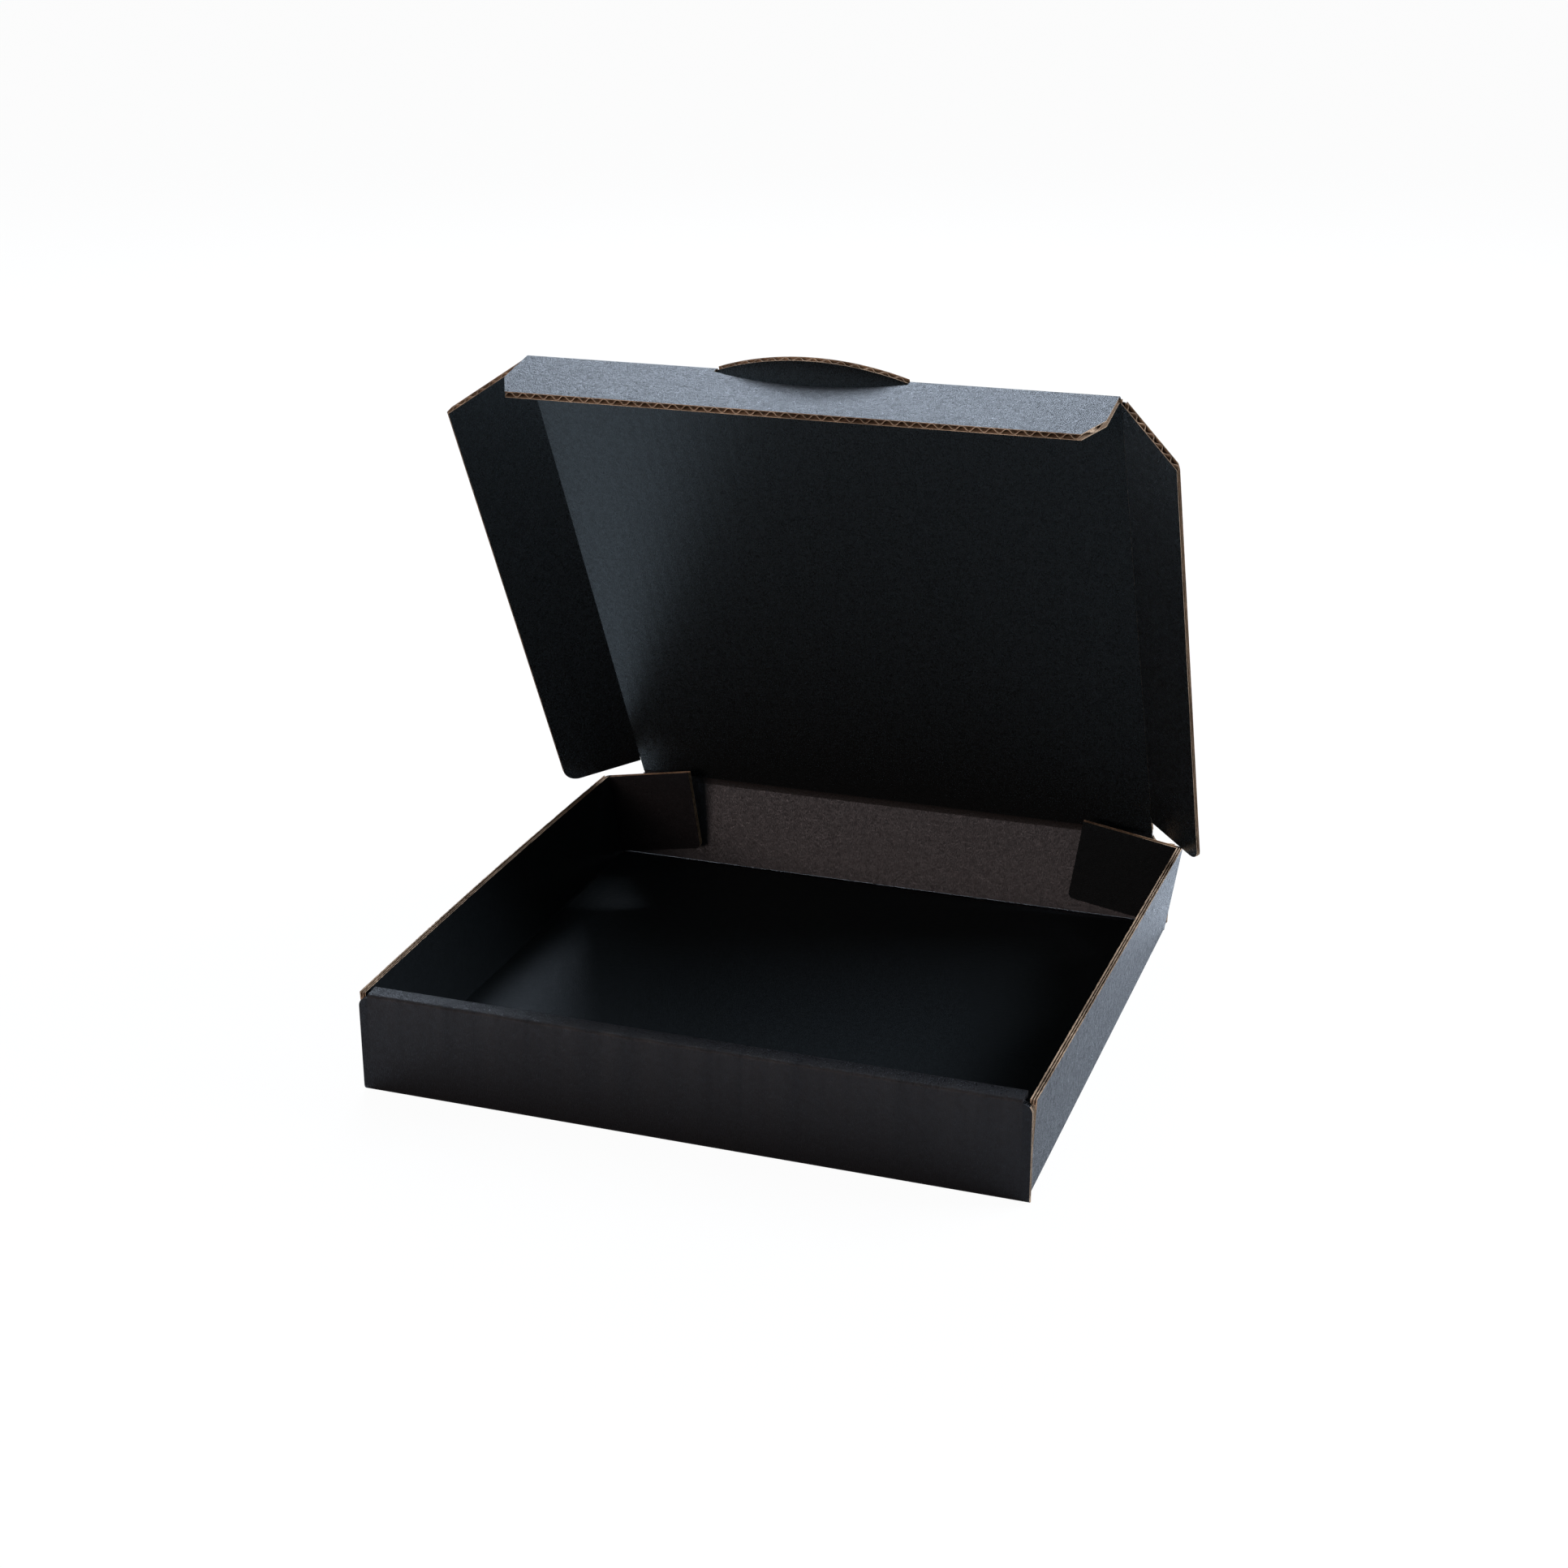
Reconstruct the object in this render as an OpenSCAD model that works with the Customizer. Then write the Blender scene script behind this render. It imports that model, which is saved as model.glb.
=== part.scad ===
// Shipping mailer folded from one sheet of fluted board, standing open with its lid propped up.
// Millimetres. The origin is the middle of the tray's underside.
// The hinge is at +Y and the rolled front at -Y.

/* [Board] */
// Thickness of the fluted board
board_t = 2.8; // [2.4:0.1:3.2]
// Thickness of each liner and of the fluted sheet between them
liner_t = 0.45; // [0.3:0.05:0.5]
// Distance from one flute to the next
flute_pitch = 6.35; // [5.8:0.05:7.5]
// Gap between two panels at a fold that moves
fold_gap = 0.4; // [0.3:0.05:0.6]
// Gap between layers that lie against each other
layer_gap = 0.3; // [0.3:0.05:0.5]

/* [Tray] */
// Width over the side walls at the base
tray_w = 293; // [250:1:330]
// Depth from the front face to the back face at the base
tray_d = 284; // [250:1:320]
// Height of the side walls
wall_h = 45.5; // [42:0.5:56]
// How far each side wall spreads at its front top corner
front_flare_w = 2; // [0:0.5:4]
// How far each side wall spreads at its rear top corner
rear_flare_w = 6.5; // [4:0.5:10]
// How far the back wall leans out at the hinge
back_lean = 9.6; // [6:0.2:12]

/* [Rolled front] */
// How far the front panel stands past each side wall
front_overhang = 1; // [0.5:0.5:4]
// How far the ridge stands above the side walls
ridge_rise = 1; // [0:0.1:2]
// How much lower the front crease of the ridge lies than its rear crease
ridge_drop = 0.4; // [0:0.1:2]
// Radius of the rolled creases
crease_r = 1.6; // [0.8:0.1:2]
// Radius of the front panel's upper corners
front_corner_r = 4; // [2:0.5:6]
// Length of the corner flaps that the rolled front holds
corner_flap_l = 46; // [30:1:60]
// Width of each locking tab
lock_tab_w = 40; // [20:1:60]
// Distance between the locking tabs' middles
lock_tab_spacing = 150; // [100:1:180]

/* [Lid] */
// How far the lid is open from closed, in degrees
lid_open = 62.5; // [60:0.5:75]
// How far the hinge axis lies above the side walls
hinge_rise = 0.3; // [0:0.1:1.5]
// Radius of the relief cut at each end of the hinge
hinge_relief_r = 4.5; // [3:0.5:6]
// Room between a folded side flap and the side wall
flap_clear = 5.4; // [3:0.1:7]
// Room between the tuck flap and the rolled front when the lid is shut
tuck_clear = 8.5; // [6:0.5:12]

/* [Thumb tab] */
// Width of the thumb tab
tab_w = 87; // [60:1:100]
// Height of the thumb tab at its middle
tab_h = 11; // [8:0.5:14]
// Height of the thumb tab at its ends
tab_end_h = 2.6; // [1:0.1:4]
// Width of the cut round the thumb tab
tab_kerf = 0.5; // [0.4:0.05:0.8]

/* [Lid side flaps] */
// Fold of the side flaps from flat, in degrees
flap_fold = 46; // [40:1:52]
// Room between the side flaps and the tray's floor when the lid is shut
flap_floor_clear = 0.4; // [0.3:0.1:3]
// How far the front end of a side flap slants back
flap_front_slant = 8; // [4:0.5:14]
// Distance from the hinge to the flap where it leaves its fold
flap_notch = 9; // [8:0.5:14]
// How much further the rear end slants away from the hinge at the free edge
flap_rear_slant = 10; // [6:0.5:14]
// Radius of the flap's rear tip
flap_tip_r = 10; // [4:0.5:12]

/* [Tuck flap] */
// Fold of the tuck flap from flat, in degrees
tuck_fold = 74; // [60:1:88]
// Depth of the tuck flap
tuck_depth = 39.5; // [30:0.5:40]
// Width of each bevelled corner
tuck_bevel_w = 7; // [4:0.5:12]
// Depth of each bevelled corner
tuck_bevel_d = 15; // [8:0.5:20]
// Room between the tuck flap's ends and the side folds
tuck_end_clear = 0.8; // [0.5:0.1:2]

/* [Rear corner flaps] */
// Length of the rear corner flaps
rear_flap_l = 47; // [30:1:60]
// Angle at which they stand off the back wall, in degrees
rear_flap_stand = 4; // [3:0.5:10]
// Angle at which their long edges rise, in degrees
rear_flap_rake = 2.5; // [0:0.5:5]
// Room under the rear corner flaps
rear_flap_lift = 1; // [0.5:0.1:3]
// Radius of their lower free corner
rear_flap_r = 3; // [1:0.5:6]

/* [Hidden] */
$fn = 48;

black = [0.09, 0.09, 0.1];
cut_through = 1;
thin = 0.01;

// Half widths of a flute channel at its narrow and wide sides, as shares of the pitch
flute_crest_share = 0.055;
flute_foot_share = 0.377;
flute_crest = flute_pitch * flute_crest_share;
flute_foot = flute_pitch * flute_foot_share;

// Levels of the rolled front, from its outer face inwards
front_y = -tray_d / 2;
front_panel_y = front_y + board_t;
inner_panel_y = front_panel_y + board_t + 2 * layer_gap;
front_inside_y = inner_panel_y + board_t;
front_w = tray_w + 2 * front_overhang;
inside_w = tray_w - 2 * board_t;
ridge_w = inside_w - 2 * layer_gap;
ridge_z = wall_h + ridge_rise;
ridge_front_z = ridge_z - ridge_drop;

// Ends of the side walls
side_front_y = front_panel_y + layer_gap;
side_rear_y = tray_d / 2 - 2 * board_t - layer_gap - fold_gap;
flare_angle = atan2(rear_flare_w, wall_h - board_t);
side_rear_edge = norm([rear_flare_w, wall_h - board_t]);

// Hinge axis, in the middle of the back wall's thickness
hinge_y = tray_d / 2 - board_t / 2 + back_lean;
hinge_z = wall_h + hinge_rise;
lean_angle = atan2(back_lean, hinge_z - board_t);

// Sizes that follow from closing the lid into the tray
lid_w = inside_w - 2 * (board_t + flap_clear);
lid_len = hinge_y - front_inside_y - board_t - tuck_clear;
flap_w = hinge_z - 1.5 * board_t - flap_floor_clear;
tuck_w = lid_w - 2 * tuck_end_clear;

// Points of an arc about a centre, in the order that its angles run
function arc_points(centre, radius, from, to, steps = 6) =
    [for (i = [0 : steps]) let (a = from + (to - from) * i / steps) centre + radius * [cos(a), sin(a)]];

// Radius of an arc that spans a chord with a given rise
function arc_radius(chord, rise) = (chord * chord / 4 + rise * rise) / (2 * rise);

// One pair of flute channels, below and above the fluted sheet, running towards -Y
module flute_pair(length) {
    low = liner_t;
    high = board_t - liner_t;
    under = high - liner_t;
    over = low + liner_t;
    below = [[-flute_foot, low], [flute_foot, low], [flute_crest, under], [-flute_crest, under]];
    above = [[-flute_crest, over], [flute_crest, over], [flute_foot, high], [-flute_foot, high]];
    rotate([90, 0, 0]) linear_extrude(length) polygon(below);
    translate([flute_pitch / 2, 0, 0]) rotate([90, 0, 0]) linear_extrude(length) polygon(above);
}

// Board cut to the outline of the children, inner face at z = 0, with open flutes that run along Y.
// The flutes fill the span from x = span[0] to span[1] and run from y = from towards -Y.
module fluted_board(span, from, length) {
    room = span[1] - span[0] - 2 * (flute_foot + liner_t);
    count = floor(room / flute_pitch + 0.5);
    first = (span[0] + span[1]) / 2 + (0.25 - count / 2) * flute_pitch;
    difference() {
        linear_extrude(board_t) children();
        for (i = [0 : count - 1]) translate([first + i * flute_pitch, from, 0]) flute_pair(length);
    }
}

// Section of a fold that lies on the ground: a quarter round of the board's thickness
module ground_fold(length) {
    linear_extrude(length, center = true) intersection() {
        circle(board_t);
        translate([0, -board_t]) square(board_t);
    }
}

// Floor with the two slots that take the locking tabs
module floor_panel() {
    slot = [lock_tab_w + 2 * board_t, board_t + 2 * layer_gap, board_t + 2 * cut_through];
    difference() {
        translate([-inside_w / 2, front_panel_y, 0]) cube([inside_w, tray_d - 2 * board_t, board_t]);
        for (side = [-1, 1])
            translate([side * lock_tab_spacing / 2, inner_panel_y + board_t / 2, board_t / 2])
                cube(slot, center = true);
    }
}

// Side wall at +X, spread outwards more and more along its length, with the corner flap at its front end
module side_wall() {
    length = side_rear_y - side_front_y;
    flap_top = ridge_front_z - 2 * board_t - 2 * layer_gap;
    flap_spread = front_flare_w * flap_top / (wall_h - board_t);
    translate([inside_w / 2, (side_front_y + side_rear_y) / 2, board_t]) rotate([90, 0, 0])
        ground_fold(length);
    hull() {
        wall_end(front_flare_w, side_front_y);
        wall_end(rear_flare_w, side_rear_y - thin);
    }
    translate([inside_w / 2, side_front_y + board_t, board_t]) rotate([90, 0, 0]) linear_extrude(board_t)
        polygon([
            [board_t / 2, 0], [board_t / 2 + flap_spread, flap_top],
            [-corner_flap_l, flap_top - layer_gap], [-corner_flap_l, layer_gap]
        ]);
}

// Sliver of a side wall's section at one end, spread at its top
module wall_end(spread, y) {
    translate([inside_w / 2, y + thin, board_t]) rotate([90, 0, 0]) linear_extrude(thin)
        polygon([[0, 0], [board_t, 0], [board_t + spread, wall_h - board_t], [spread, wall_h - board_t]]);
}

// Outline of the rolled front across its length: outer leg, ridge and inner leg
module roll_profile() {
    slope = atan2(ridge_drop, front_inside_y - front_y);
    under = board_t / cos(slope);
    rise = tan(slope);
    lower = front_panel_y - front_y;
    outer = arc_points([front_y + crease_r, ridge_front_z - crease_r], crease_r, 180, 90 + slope);
    inner = arc_points([front_inside_y - crease_r, ridge_z - crease_r], crease_r, 90 + slope, 0);
    polygon(concat([[front_y, board_t]], outer, inner, [
        [front_inside_y, board_t + layer_gap],
        [inner_panel_y, board_t + layer_gap],
        [inner_panel_y, ridge_front_z - under + rise * (inner_panel_y - front_y)],
        [front_panel_y, ridge_front_z - under + rise * lower],
        [front_panel_y, board_t]
    ]));
}

// Outline of the outer front panel, which stands past the ridge at both ends
module front_panel_outline() {
    top = ridge_front_z - crease_r;
    difference() {
        translate([-front_w / 2, board_t]) square([front_w, top - board_t]);
        for (side = [-1, 1])
            translate([side * front_w / 2, top]) difference() {
                square(2 * front_corner_r, center = true);
                translate([-side * front_corner_r, -front_corner_r]) circle(front_corner_r);
                translate([-side * front_corner_r, -2 * front_corner_r])
                    square([4 * front_corner_r, 2 * front_corner_r], center = true);
            }
    }
}

// Rolled front: outer panel, ridge, inner panel and the tabs that lock into the floor
module rolled_front() {
    translate([0, front_panel_y, board_t]) rotate([90, 0, -90]) ground_fold(front_w);
    translate([0, front_panel_y, 0]) rotate([90, 0, 0]) linear_extrude(board_t) front_panel_outline();
    rotate([90, 0, 90]) linear_extrude(ridge_w, center = true) roll_profile();
    for (side = [-1, 1])
        translate([side * lock_tab_spacing / 2 - lock_tab_w / 2, inner_panel_y, layer_gap])
            cube([lock_tab_w, board_t, 2 * board_t]);
}

// Back wall, leaning out, with a relief cut at each end of the hinge
module back_wall() {
    along = [sin(lean_angle), cos(lean_angle)];
    across = [cos(lean_angle), -sin(lean_angle)] * board_t / 2;
    top = [hinge_y, hinge_z] - along * (board_t / 2 + fold_gap);
    foot = tray_d / 2;
    cut_d = 4 * back_lean;
    translate([0, foot - board_t, board_t]) rotate([90, 0, 90]) ground_fold(inside_w);
    difference() {
        rotate([90, 0, 90]) linear_extrude(tray_w, center = true)
            polygon([[foot - board_t, board_t], [foot, board_t], top + across, top - across]);
        for (side = [-1, 1])
            translate([side * (lid_w / 2 + hinge_relief_r), hinge_y, hinge_z]) {
                rotate([90, 0, 0]) cylinder(r = hinge_relief_r, h = cut_d, center = true);
                translate([side > 0 ? 0 : -tray_w, -cut_d / 2, -hinge_relief_r])
                    cube([tray_w, cut_d, 2 * hinge_relief_r]);
            }
    }
}

// Tray: one folded piece with floor, side walls, leaning back wall and rolled front
module tray() {
    color(black) {
        floor_panel();
        side_wall();
        mirror([1, 0, 0]) side_wall();
        rolled_front();
        back_wall();
    }
}

// Places children drawn for a shut lid, with the hinge axis along X at the origin
module on_lid() {
    translate([0, hinge_y, hinge_z]) rotate([-lid_open, 0, 0]) children();
}

// Outline of the thumb tab past the tuck fold, grown by a margin
module tab_outline(margin = 0) {
    rise = tab_h - tab_end_h;
    radius = arc_radius(tab_w, rise);
    intersection() {
        translate([0, radius - tab_h]) circle(radius + margin, $fn = 180);
        translate([-tab_w / 2 - margin, -tab_h - margin]) square([tab_w + 2 * margin, tab_h + margin]);
    }
}

// Lid panel with its thumb tab, and a rounded edge in the hinge
module lid() {
    panel = lid_len - fold_gap / 2;
    panel_w = lid_w - fold_gap;
    hinge_w = lid_w - 2 * fold_gap;
    color(black) on_lid() {
        translate([0, 0, -board_t / 2]) fluted_board([-lid_w / 2, lid_w / 2], -board_t, lid_len + tab_h) {
            translate([-panel_w / 2, -panel]) square([panel_w, panel - flap_notch / 2]);
            translate([-hinge_w / 2, -panel]) square([hinge_w, panel]);
            translate([0, -lid_len]) tab_outline();
            translate([-tab_w / 2, -lid_len]) square([tab_w, board_t]);
        }
        rotate([0, 90, 0]) cylinder(d = board_t, h = hinge_w, center = true);
    }
}

// Outline of a lid side flap: x is the distance from its fold, -y the distance from the hinge
module flap_outline() {
    rear = flap_notch + flap_rear_slant;
    slant = atan2(flap_rear_slant, flap_w);
    tip = [flap_w - flap_tip_r, -rear - flap_tip_r * (1 / cos(slant) - tan(slant))];
    front = lid_len - fold_gap;
    polygon(concat(
        [[fold_gap / 2, -front], [fold_gap / 2, -flap_notch]],
        arc_points(tip, flap_tip_r, 90 - slant, 0),
        [[flap_w, -front + flap_front_slant]]
    ));
}

// Lid side flap at +X, folded inwards from flat
module side_flap() {
    color(black) on_lid() translate([lid_w / 2, 0, -board_t / 2]) rotate([0, flap_fold, 0])
        fluted_board([fold_gap / 2, flap_w], 0, lid_len) flap_outline();
}

module left_flap() {
    mirror([1, 0, 0]) side_flap();
}

module right_flap() {
    side_flap();
}

// Tuck flap, folded inwards from flat, with the opening that the thumb tab is cut from
module tuck_flap() {
    half = tuck_w / 2;
    color(black) on_lid() translate([0, -lid_len, -board_t / 2]) rotate([tuck_fold, 0, 0])
        fluted_board([-half, half], 0, tuck_depth + cut_through) difference() {
            polygon([
                [-half, -fold_gap / 2], [half, -fold_gap / 2],
                [half, tuck_bevel_d - tuck_depth], [half - tuck_bevel_w, -tuck_depth],
                [tuck_bevel_w - half, -tuck_depth], [-half, tuck_bevel_d - tuck_depth]
            ]);
            tab_outline(tab_kerf);
        }
}

// Outline of a rear corner flap: x is the height up its fold, -y the distance from the fold
module rear_flap_outline() {
    rise = rear_flap_l * tan(rear_flap_rake);
    top = side_rear_edge - fold_gap;
    corner = [rear_flap_lift + rise + rear_flap_r, rear_flap_r - rear_flap_l];
    polygon(concat(
        [[top, -fold_gap / 2], [rear_flap_lift, -fold_gap / 2]],
        arc_points(corner, rear_flap_r, 180 + rear_flap_rake, 270),
        [[top + rise, -rear_flap_l]]
    ));
}

// Rear corner flap at +X, folded in from the side wall's rear edge
module rear_flap() {
    low = rear_flap_lift + rear_flap_l * tan(rear_flap_rake);
    high = side_rear_edge - fold_gap;
    color(black) translate([inside_w / 2, side_rear_y, board_t]) rotate([0, flare_angle, 0])
        rotate([0, 0, rear_flap_stand]) rotate([-90, -90, 0])
            fluted_board([low, high], 0, rear_flap_l + cut_through) rear_flap_outline();
}

module rear_left_flap() {
    mirror([1, 0, 0]) rear_flap();
}

module rear_right_flap() {
    rear_flap();
}

tray();
lid();
left_flap();
right_flap();
tuck_flap();
rear_left_flap();
rear_right_flap();
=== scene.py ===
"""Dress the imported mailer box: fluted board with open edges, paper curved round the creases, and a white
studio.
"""
import logging
import math
from dataclasses import dataclass, field
from enum import IntEnum
from typing import Callable, Sequence

import bmesh
import bpy
from mathutils import Matrix, Vector, noise


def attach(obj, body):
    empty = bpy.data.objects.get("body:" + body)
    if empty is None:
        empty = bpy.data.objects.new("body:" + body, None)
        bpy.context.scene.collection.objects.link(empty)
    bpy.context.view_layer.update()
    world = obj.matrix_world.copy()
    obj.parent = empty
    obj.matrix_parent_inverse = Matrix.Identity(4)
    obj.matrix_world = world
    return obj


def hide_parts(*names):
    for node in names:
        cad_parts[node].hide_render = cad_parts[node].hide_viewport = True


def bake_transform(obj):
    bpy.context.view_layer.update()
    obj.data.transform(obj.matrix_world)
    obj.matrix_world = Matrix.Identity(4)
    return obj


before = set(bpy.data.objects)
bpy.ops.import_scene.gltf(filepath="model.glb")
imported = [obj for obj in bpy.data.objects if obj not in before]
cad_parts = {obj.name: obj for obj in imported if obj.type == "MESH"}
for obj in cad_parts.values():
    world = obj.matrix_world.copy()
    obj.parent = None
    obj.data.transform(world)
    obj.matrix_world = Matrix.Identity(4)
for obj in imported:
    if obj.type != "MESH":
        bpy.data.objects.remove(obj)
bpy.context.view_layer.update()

log = logging.getLogger("mailer")
MM = 0.001
NOISE_LOW, NOISE_HIGH = 0.38, 0.62
Point2 = tuple[float, float]
Triple = tuple[float, float, float]


class Skin(IntEnum):
    """Material slots on every board piece."""

    OUTSIDE = 0
    KRAFT = 1
    INSIDE = 2
    RIBBED = 3
    FLOOR = 4


class Side(IntEnum):
    """Which side of the box a mirrored piece is on."""

    LEFT = -1
    RIGHT = 1

    @property
    def word(self) -> str:
        """Lower-case name of the side."""
        return self.name.lower()


@dataclass(frozen=True)
class BoardStock:
    """Fluted board, in millimetres."""

    thickness: float = 2.8
    liner: float = 0.28
    medium: float = 0.27
    pitch: float = 6.35
    steps: int = 12

    def wave(self, x: float) -> float:
        """Height of the fluted sheet's middle at a place across the flutes."""
        reach = self.thickness / 2 - self.liner - self.medium / 2
        swing = math.sin(2 * math.pi * x / self.pitch)
        return self.thickness / 2 + reach * math.copysign(abs(swing) ** 0.8, swing)


@dataclass(frozen=True)
class MailerSizes:
    """Sizes of the folded box, in millimetres and degrees, as in the CAD part."""

    tray_w: float = 293.0
    tray_d: float = 284.0
    wall_h: float = 45.5
    front_flare: float = 2.0
    rear_flare: float = 6.5
    back_lean: float = 9.6
    overhang: float = 1.0
    ridge_rise: float = 1.0
    ridge_drop: float = 0.4
    crease_r: float = 1.6
    corner_r: float = 4.0
    lid_open: float = 62.5
    hinge_rise: float = 0.3
    relief_r: float = 4.5
    lid_w: float = 271.0
    lid_len: float = 271.9
    tab_w: float = 87.0
    tab_h: float = 11.0
    tab_end: float = 2.6
    kerf: float = 0.5
    flap_fold: float = 46.0
    flap_w: float = 41.2
    flap_slant: float = 8.0
    flap_notch: float = 9.0
    flap_rear_slant: float = 10.0
    flap_tip_r: float = 10.0
    tuck_fold: float = 74.0
    tuck_depth: float = 39.5
    bevel_w: float = 7.0
    bevel_d: float = 15.0
    tuck_end: float = 0.8
    rear_len: float = 47.0
    rear_stand: float = 4.0
    rear_rake: float = 2.5
    rear_lift: float = 1.0
    rear_r: float = 3.0
    gap: float = 0.4
    seam: float = 0.05
    layer: float = 0.3
    board: BoardStock = field(default_factory=BoardStock)

    @property
    def t(self) -> float:
        """Board thickness."""
        return self.board.thickness

    @property
    def inside_w(self) -> float:
        """Width between the side walls at the floor."""
        return self.tray_w - 2 * self.t

    @property
    def front_w(self) -> float:
        """Width of the outer front panel."""
        return self.tray_w + 2 * self.overhang

    @property
    def ridge_w(self) -> float:
        """Width of the ridge and the inner front panel."""
        return self.inside_w - 2 * self.layer

    @property
    def ridge_z(self) -> float:
        """Height of the ridge's rear crease."""
        return self.wall_h + self.ridge_rise

    @property
    def front_y(self) -> float:
        """Outer face of the front panel."""
        return -self.tray_d / 2

    @property
    def inner_panel_y(self) -> float:
        """Front face of the inner front panel."""
        return self.front_y + 2 * self.t + 2 * self.layer

    @property
    def front_inside_y(self) -> float:
        """Inside face of the rolled front."""
        return self.inner_panel_y + self.t

    @property
    def side_front_y(self) -> float:
        """Front end of the side walls."""
        return self.front_y + self.t + self.layer

    @property
    def side_rear_y(self) -> float:
        """Rear end of the side walls."""
        return self.tray_d / 2 - 2 * self.t - self.layer - self.gap

    @property
    def flare_angle(self) -> float:
        """Lean of a side wall's rear edge, in radians."""
        return math.atan2(self.rear_flare, self.wall_h - self.t)

    @property
    def hinge_y(self) -> float:
        """Hinge axis, front to back."""
        return self.tray_d / 2 - self.t / 2 + self.back_lean

    @property
    def hinge_z(self) -> float:
        """Hinge axis, height."""
        return self.wall_h + self.hinge_rise

    def lid_frame(self) -> Matrix:
        """Frame of the lid drawn shut, with the hinge axis along X at its origin."""
        place = Matrix.Translation((0, self.hinge_y, self.hinge_z))
        return place @ Matrix.Rotation(math.radians(-self.lid_open), 4, "X")

    def lid_panel_frame(self) -> Matrix:
        """Frame of the lid panel, inner face at z = 0."""
        return self.lid_frame() @ Matrix.Translation((0, 0, -self.t / 2))

    def flap_frame(self, side: Side) -> Matrix:
        """Frame of a lid side flap, its fold along Y and its inner face at z = 0."""
        fold = Matrix.Rotation(math.radians(side * self.flap_fold), 4, "Y")
        return self.lid_frame() @ Matrix.Translation((side * self.lid_w / 2, 0, -self.t / 2)) @ fold

    def tuck_frame(self) -> Matrix:
        """Frame of the tuck flap, its fold along X and its inner face at z = 0."""
        fold = Matrix.Rotation(math.radians(self.tuck_fold), 4, "X")
        return self.lid_frame() @ Matrix.Translation((0, -self.lid_len, -self.t / 2)) @ fold

    def back_frame(self) -> Matrix:
        """Frame of the back wall: x to the right, -y down from the hinge axis, inner face at z = 0."""
        lean = math.atan2(self.back_lean, self.hinge_z - self.t)
        up = Vector((0, math.sin(lean), math.cos(lean)))
        out = Vector((0, math.cos(lean), -math.sin(lean)))
        origin = Vector((0, self.hinge_y, self.hinge_z)) - out * self.t / 2
        return axes_frame(origin, Vector((-1, 0, 0)), up)

    def rear_frame(self, side: Side) -> Matrix:
        """Frame of a rear corner flap: x up its fold, -y away from the fold."""
        lean = self.flare_angle
        up = Vector((side * math.sin(lean), 0, math.cos(lean)))
        flat = Vector((side * math.cos(lean), 0, -math.sin(lean)))
        stand = Matrix.Rotation(math.radians(side * self.rear_stand), 4, up)
        origin = Vector((side * self.inside_w / 2, self.side_rear_y, self.t))
        turned = axes_frame(Vector(), up, stand @ flat)
        shift = Vector() if side is Side.RIGHT else turned.to_3x3() @ Vector((0, 0, -self.t))
        return Matrix.Translation(origin + shift) @ turned

    def side_spread(self, y: float) -> float:
        """Spread of a side wall's top at a place along it."""
        share = (y - self.side_front_y) / (self.side_rear_y - self.side_front_y)
        return self.front_flare + (self.rear_flare - self.front_flare) * share


def axes_frame(origin: Vector, x_axis: Vector, y_axis: Vector) -> Matrix:
    """Frame from an origin and two unit axes.

    Args:
        origin: Origin in the row frame.
        x_axis: Direction of local X.
        y_axis: Direction of local Y.

    Returns:
        A 4 by 4 matrix from local to row frame.
    """
    z_axis = x_axis.cross(y_axis)
    turn = Matrix((x_axis, y_axis, z_axis)).transposed().to_4x4()
    return Matrix.Translation(origin) @ turn


def arc(centre: Point2, radius: float, start: float, end: float, steps: int = 8) -> list[Point2]:
    """Points along an arc.

    Args:
        centre: Centre of the arc.
        radius: Radius of the arc.
        start: First angle, in degrees.
        end: Last angle, in degrees.
        steps: Number of spans.

    Returns:
        Points from the first angle to the last.
    """
    angles = [math.radians(start + (end - start) * i / steps) for i in range(steps + 1)]
    return [(centre[0] + radius * math.cos(a), centre[1] + radius * math.sin(a)) for a in angles]


def span_at(outline: Sequence[Point2], x: float) -> tuple[float, float]:
    """Lowest and highest y of an outline at one x.

    Args:
        outline: Closed outline that each line of constant x crosses once in and once out.
        x: Place across the outline.

    Returns:
        The lowest and the highest y there.
    """
    found: list[float] = []
    for (x0, y0), (x1, y1) in zip(outline, list(outline[1:]) + [outline[0]]):
        if min(x0, x1) <= x <= max(x0, x1):
            found += [y0, y1] if x0 == x1 else [y0 + (y1 - y0) * (x - x0) / (x1 - x0)]
    return min(found), max(found)


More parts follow.
